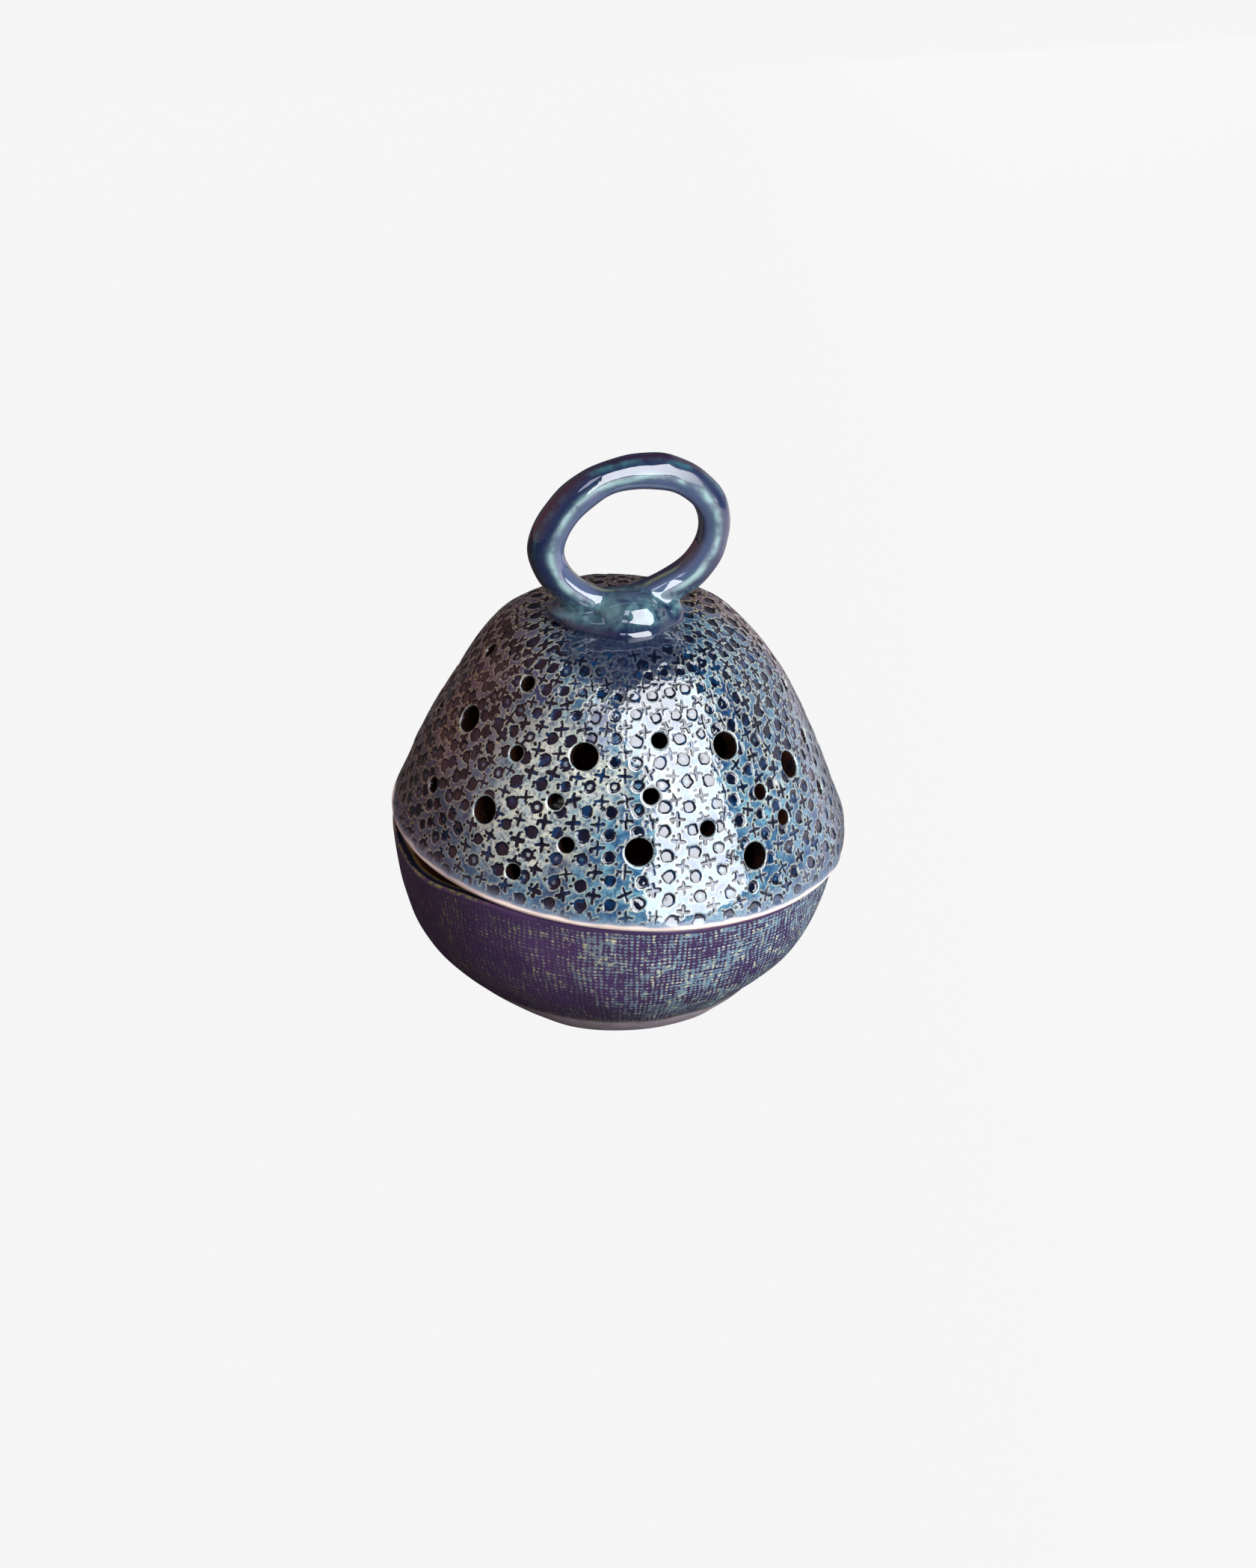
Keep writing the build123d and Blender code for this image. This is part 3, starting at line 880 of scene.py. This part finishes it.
def dome_material():
    """The dome's glaze, from where the wall is raised, pressed in, wiped or bare, and darker plum on the
    left, partly as painted shade.
    """
    material, tree = new_material("stamped_dome_glaze")
    # The plum mark is partly painted shade. On the left, away from the window, the ground, the ink and the
    # cream lips are painted darker.
    left = marked(tree, "plum_and_painted_shade")
    bare = marked(tree, "bare")
    body = glaze(tree, (0.14, 0.32, 0.4), (0.008, 0.058, 0.165), 6.0, 3.8)
    khaki = glaze(tree, (0.8, 0.78, 0.62), (0.27, 0.41, 0.44), 3.5, 2.6)
    olive = glaze(tree, (0.19, 0.11, 0.125), (0.07, 0.024, 0.055), 5.0, 3.0)
    clay = glaze(tree, (0.88, 0.76, 0.66), (0.78, 0.6, 0.5), 4.0, 1.4)
    cloudy = math(tree, "ADD", marked(tree, "creamy"), scaled(tree, noise(tree, 4.0, 4.0), 0.9, -0.45))
    mottle = ramp(tree, noise(tree, 1.1, 4.0), 0.47, 0.62)
    navy = times(tree, marked(tree, "navy"), ramp(tree, noise(tree, 5.0, 4.0), 0.3, 0.6))
    runs = ramp(tree, noise(tree, 2.5, 4.0, distortion=1.5), 0.35, 0.6)
    sky = times(tree, marked(tree, "sky"), runs)
    streaks = noise(tree, 1.2, 3.0, stretch=(1, 1, 0.16))
    wiped = mix(tree, ramp(tree, streaks, 0.4, 0.7), (0.01, 0.009, 0.04), (0.03, 0.045, 0.075))
    broken = times(tree, marked(tree, "lip"), ramp(tree, noise(tree, 0.9, 3.0), 0.3, 0.55))
    cream = mix(tree, left, (0.6, 0.6, 0.42), (0.52, 0.4, 0.15))
    blue_ink = ramp(tree, noise(tree, 3.2, 3.0), 0.5, 0.64)
    ink = mix(tree, blue_ink, (0.0004, 0.003, 0.014), (0.0015, 0.028, 0.085))
    ink = mix(tree, left, ink, (0.006, 0.002, 0.005))
    colour = coated(tree, body.outputs["Color"], [
        (ramp(tree, cloudy, 0.25, 0.7), khaki.outputs["Color"]),
        (times(tree, mottle, 0.72), (0.03, 0.07, 0.135)),
        (times(tree, left, 0.92), olive.outputs["Color"]),
        (times(tree, navy, 0.9, clamp=True), (0.006, 0.017, 0.075)),
        (times(tree, sky, 0.8, clamp=True), (0.08, 0.3, 0.46)),
        (times(tree, marked(tree, "brushed"), 0.93), wiped),
        (times(tree, broken, 0.8, clamp=True), cream),
        (ramp(tree, marked(tree, "pooled"), 0.04, 0.24), ink),
        (times(tree, marked(tree, "edge_fade"), 0.7), (0.36, 0.44, 0.56)),
        (bare, clay.outputs["Color"])])
    rough = scaled(tree, bare, 0.6, 0.07)
    bump = node(tree, "Bump", {"Strength": 0.12, "Distance": 0.0002, "Height": noise(tree, 1.6, 3.0)})
    dull = math(tree, "MAXIMUM", bare, times(tree, marked(tree, "steep"), 0.75), clamp=True)
    rough = math(tree, "ADD", rough, times(tree, marked(tree, "steep"), 0.3))
    fired(tree, {"Base Color": colour, "Roughness": rough, "IOR": 1.45,
                 "Coat Weight": rest_of(tree, dull),
                 "Coat IOR": 1.8, "Coat Roughness": 0.03,
                 "Coat Normal": bump.outputs[0], "Normal": bump.outputs[0]})
    return material


def worked_in(piece):
    """Works the piece's modifiers into its mesh."""
    changed = piece.evaluated_get(bpy.context.evaluated_depsgraph_get())
    mesh = bpy.data.meshes.new_from_object(changed)
    piece.modifiers.clear()
    piece.data = mesh


def hole_wall_painted_shade_material():
    """Dark glaze on the walls of the holes, made almost black partly as painted shade inside them, and amber
    where it is thin.
    """
    material, tree = new_material("hole_glaze_painted_shade")
    # Both colours are near black. This is painted shade on the walls of the holes, over their dark glaze.
    body = glaze(tree, (0.03, 0.01, 0.003), (0.003, 0.003, 0.006), 4.0, 2.4)
    fired(tree, {"Base Color": body.outputs["Color"], "Roughness": 0.1})
    return material


dome.data.materials.append(dome_material())
dome.data.materials.append(liner)
dome.data.materials.append(hole_wall_painted_shade_material())
inner_vertex = np.zeros(len(dome.data.vertices))
dome.data.attributes["inner"].data.foreach_get("value", inner_vertex)
second_finish(dome, lambda face: all(inner_vertex[v] > 0.5 for v in face.vertices))
cutters = punch()
cutters.data.materials.append(dome.data.materials[0])
cutters.data.materials.append(liner)
cutters.data.materials.append(dome.data.materials[2])
second_finish(cutters, lambda face: True, 2)
cut = dome.modifiers.new("pierced", "BOOLEAN")
cut.operation = "DIFFERENCE"
cut.solver = "MANIFOLD"
cut.object = cutters
worked_in(dome)
bpy.data.objects.remove(cutters)
dome.data.set_sharp_from_angle(angle=radians(75))


# ---------------------------------------------------------------------------------------
# The locating coil under the dome.
# A coil luted inside the dome's edge that hangs in the mouth and keeps the lid in place.

skirt_in, skirt_out = 54.6, 59.6
flange_rings = []
flange_turns = np.arange(360)
edge_of_root = edge_along(flange_turns)


def under_seam(turn, radius, above):
    """Points at a radius about the pot's axis and a height above the seam."""
    return spot(turn, radius, seam_height(turn, radius) + above)


skirt_outline, _ = smooth_line([(skirt_out, 0.2), (skirt_out, -2.5), (skirt_out - 0.2, -5.6),
                                (skirt_out - 1.4, -6.8), (skirt_in + 1.4, -6.8), (skirt_in + 0.2, -5.6),
                                (skirt_in, -2), (skirt_in, 2), (skirt_in + 0.8, 4.4)], count=40)
for radius, above in skirt_outline:
    flange_rings.append(under_seam(flange_turns, radius, above))
for high, depth in ((6.0, lid_wall + 0.3), (3.6, lid_wall - 0.2), (1.5, lid_wall - 0.2)):
    flange_rings.append(place_lid(dome_point(flange_turns, edge_of_root + high, -depth)))
flange_rings.append(under_seam(flange_turns, skirt_out + 2.0, 0.6))
flange = skin("locating_coil", flange_rings, "lid", ["lid_flange"], closed=True)
flange.data.materials.append(liner)
flange.data.set_sharp_from_angle(angle=radians(60))


# ---------------------------------------------------------------------------------------
# The ring handle and the pad under it.
# A coil of clay bent into a leaning oval, its ends luted over each other on a pad and pressed
# down with the fingers, then glazed blue-violet with a teal streak along the crest of the coil.

crown = place_lid(np.array([[0.0, 0.0, dome_rise]]))[0]
ring_line = [(1, 3), (12.5, 7.2), (22, 14), (26.4, 27.2), (23.0, 35.8), (15.4, 41.8), (6.1, 44.4),
             (-7.7, 42.4), (-19, 34), (-24.2, 22), (-18.5, 10.5), (-10.5, 4.8)]
ring_turn, ring_x, handle_y, coil_r = radians(15), 0.6, -8.0, 5.5
ring_count = 240
oval, _ = smooth_line([(float(a), float(b)) for a, b in ring_line], closed=True, count=ring_count + 1)
oval = oval[:-1]


def ring_place(across, up, toward):
    """From the ring's own plane to the pot. toward is out of the ring's face, to the front."""
    x = ring_x + across * cos(ring_turn) + toward * sin(ring_turn)
    y = handle_y + across * sin(ring_turn) - toward * cos(ring_turn)
    local = np.stack([x, y, up + dome_rise], -1)
    return place_lid(local)


def coil_section(step):
    """The coil's outline at one place along it: out from the ring's middle, and to the front."""
    around = np.linspace(0, 2 * pi, 40, endpoint=False)
    share = step / ring_count
    thick = coil_r * (0.98 + 0.035 * sin(2 * pi * share * 3 + 0.7) + 0.02 * sin(2 * pi * share * 7))
    squash = 1 - 0.02 * np.cos(2 * around)
    right_side = np.exp(-((oval[step, 0] - 25) / 12) ** 2)
    inner_flat = 1 - (0.06 + 0.2 * right_side) * np.exp(-((around - pi) / 0.7) ** 2)
    return thick * squash * inner_flat * np.cos(around), thick * 0.98 * np.sin(around) / squash ** 0.3


ring_rings = []
for i in range(ring_count):
    ahead, behind = oval[(i + 1) % ring_count], oval[i - 1]
    along = (ahead - behind) / np.linalg.norm(ahead - behind)
    outward = np.array([along[1], -along[0]])
    out, toward = coil_section(i)
    across = oval[i, 0] + out * outward[0]
    up = oval[i, 1] + out * outward[1]
    ring_rings.append(ring_place(across, up, toward))
handle = skin("handle_and_pad", ring_rings, "lid", ["handle_ring", "handle_pad"], closed=True)

pad_turns = np.arange(96) * 3.75
pad_rings = [np.array([[0.0, 0.0, -3.0]])]
pad_outline = [(-3.0, 0.6), (-2.6, 0.93), (-1.2, 1.02), (0.4, 1.0), (1.6, 0.93), (2.8, 0.8), (3.8, 0.6),
               (4.4, 0.35)]
pad_long, pad_wide = 19.5, 16.0
for high, wide in pad_outline:
    a = np.radians(pad_turns)
    swell = 1 + 0.05 * np.sin(3 * a + 1) + 0.03 * np.sin(5 * a)
    out = wide * swell
    ring = np.stack([pad_long * out * np.sin(a), -pad_wide * out * np.cos(a), high + 0 * a], -1)
    pad_rings.append(ring)
pad_rings.append(np.array([[0.0, 0.0, 4.7]]))
pad_rings = [place_lid(r + np.array([pad_at[0], pad_at[1], dome_rise - 0.4])) for r in pad_rings]
pad = skin("pad_lump", pad_rings, "lid", ["handle_pad"])

bpy.ops.object.select_all(action="DESELECT")
fingers = []
pressed_lumps = [(-15.5, -9, 0.6, 7.5, 6.5, 4.2), (2, -13.5, 1.0, 11, 8.0, 7.6),
                 (11, -8.0, 0.8, 7.5, 6.0, 4.4), (-2, -9, 3.4, 9, 5.5, 5)]
for x, y, z, wide, deep, tall in pressed_lumps:
    bpy.ops.mesh.primitive_uv_sphere_add(segments=48, ring_count=24)
    lump = bpy.context.object
    lump.scale = (wide * mm, deep * mm, tall * mm)
    lump.location = place_lid(np.array([x, y, dome_rise + z])) * mm
    lump.select_set(False)
    fingers.append(lump)
for lump in fingers:
    lump.select_set(True)
handle.select_set(True)
pad.select_set(True)
bpy.context.view_layer.objects.active = handle
bpy.ops.object.join()
melt = handle.modifiers.new("melted_together", "REMESH")
melt.mode = "VOXEL"
melt.voxel_size = 0.42 * mm
worked_in(handle)

handle_mesh = handle.data
count = len(handle_mesh.vertices)
points = np.zeros(count * 3)
handle_mesh.vertices.foreach_get("co", points)
points = points.reshape(-1, 3) / mm
edges = np.zeros(len(handle_mesh.edges) * 2, int)
handle_mesh.edges.foreach_get("vertices", edges)
edges = edges.reshape(-1, 2)
degree = np.bincount(edges.ravel(), minlength=count)[:, None]


def relax(points, rounds, amount):
    """Evens out the clay by moving each point towards the middle of its neighbours."""
    for _ in range(rounds):
        total = np.zeros_like(points)
        np.add.at(total, edges[:, 0], points[edges[:, 1]])
        np.add.at(total, edges[:, 1], points[edges[:, 0]])
        points = points + amount * (total / degree - points)
    return points


low_down = np.clip((crown[2] + 11 - points[:, 2]) / 6, 0, 1)[:, None]
points = relax(points, 4, 0.5)
points = relax(points, 30, 0.5 * low_down)
centre_line = ring_place(oval[:, 0], oval[:, 1], 0 * oval[:, 0])
nought = np.zeros(1)
toward_front = (ring_place(nought, nought, np.ones(1)) - ring_place(nought, nought, nought))[0]
nearest = np.zeros(count, int)
for start in range(0, count, 20000):
    part = points[start:start + 20000]
    far = ((part[:, None, :] - centre_line[None]) ** 2).sum(2)
    nearest[start:start + 20000] = far.argmin(1)
ahead = np.roll(centre_line, -1, 0) - np.roll(centre_line, 1, 0)
ahead /= np.linalg.norm(ahead, axis=1)[:, None]
outward = np.cross(ahead, toward_front)
offset = points - centre_line[nearest]
out_share = (offset * outward[nearest]).sum(1)
front_share = offset @ toward_front
coil_angle = np.degrees(np.arctan2(front_share, -out_share))
away = offset / np.maximum(np.linalg.norm(offset, axis=1), 1)[:, None]
points += 0.12 * lumps(points, 11, 41)[:, None] * away
handle_mesh.vertices.foreach_set("co", (points * mm).ravel())
handle_mesh.polygons.foreach_set("use_smooth", np.ones(len(handle_mesh.polygons), bool))
vertex_values(handle, "coil_angle", coil_angle)
dulled_at, dulled_half = (20.0, 38.0, 4.0), 9.0
beside = (ring_place(*np.array(dulled_at)[:, None])[0] - points) / dulled_half
vertex_values(handle, "dulled", np.exp(-(beside ** 2).sum(1)))
vertex_values(handle, "above_crown", points[:, 2] - crown[2])


def handle_material():
    """Blue-violet glaze that runs off the crest of the coil, so it is teal and cream there. It is
    duller on the ring's upper right, only so that the window's streak breaks off there."""
    material, tree = new_material("handle_glaze")
    body = glaze(tree, (0.02, 0.06, 0.1), (0.008, 0.01, 0.045), 9.0, 2.4)
    turn = math(tree, "ADD", marked(tree, "coil_angle"), scaled(tree, noise(tree, 14.0, 3.0), 36.0, -18.0))

    def band(middle, width):
        """1 on a line along the coil, at an angle round it, easing to 0 on both sides."""
        off = math(tree, "SUBTRACT", turn, middle)
        square = times(tree, off, off)
        return math(tree, "EXPONENT", times(tree, square, -1 / width ** 2))

    patchy = ramp(tree, noise(tree, 6.0, 4.0), 0.3, 0.6)
    low = rest_of(tree, ramp(tree, marked(tree, "above_crown"), 6.5, 9.5))
    pressed = glaze(tree, (0.11, 0.23, 0.25), (0.005, 0.014, 0.05), 5.0, 3.4)
    skirt = rest_of(tree, ramp(tree, marked(tree, "above_crown"), 0.2, 2.6))
    flecks = ramp(tree, noise(tree, 0.8, 3.0), 0.58, 0.75)
    colour = coated(tree, body.outputs["Color"], [
        (band(180, 50), (0.03, 0.01, 0.035)),
        (band(-60, 75), (0.02, 0.012, 0.04)),
        (times(tree, band(56, 32), 0.9), (0.08, 0.11, 0.2)),
        (times(tree, band(92, 11), patchy), (0.24, 0.4, 0.38)),
        (times(tree, band(128, 18), 0.75), (0.008, 0.02, 0.07)),
        (times(tree, band(12, 9), patchy), (0.2, 0.24, 0.14)),
        (times(tree, band(150, 12), rest_of(tree, patchy)), (0.04, 0.13, 0.16)),
        (low, pressed.outputs["Color"]),
        (times(tree, skirt, 0.85), (0.008, 0.012, 0.05)),
        (times(tree, flecks, 0.2), (0.14, 0.2, 0.16))])
    bump = node(tree, "Bump", {"Strength": 0.2, "Distance": 0.0002, "Height": body.outputs["Wave"]})
    dulled = marked(tree, "dulled")
    rough = scaled(tree, dulled, 0.3, 0.07)
    fired(tree, {"Base Color": colour, "Roughness": rough, "IOR": 1.5,
                 "Coat Weight": scaled(tree, dulled, -0.9, 1.0),
                 "Coat IOR": 1.75, "Coat Roughness": 0.03,
                 "Coat Normal": bump.outputs[0], "Normal": bump.outputs[0]})
    return material


handle.data.materials.clear()
handle.data.materials.append(handle_material())
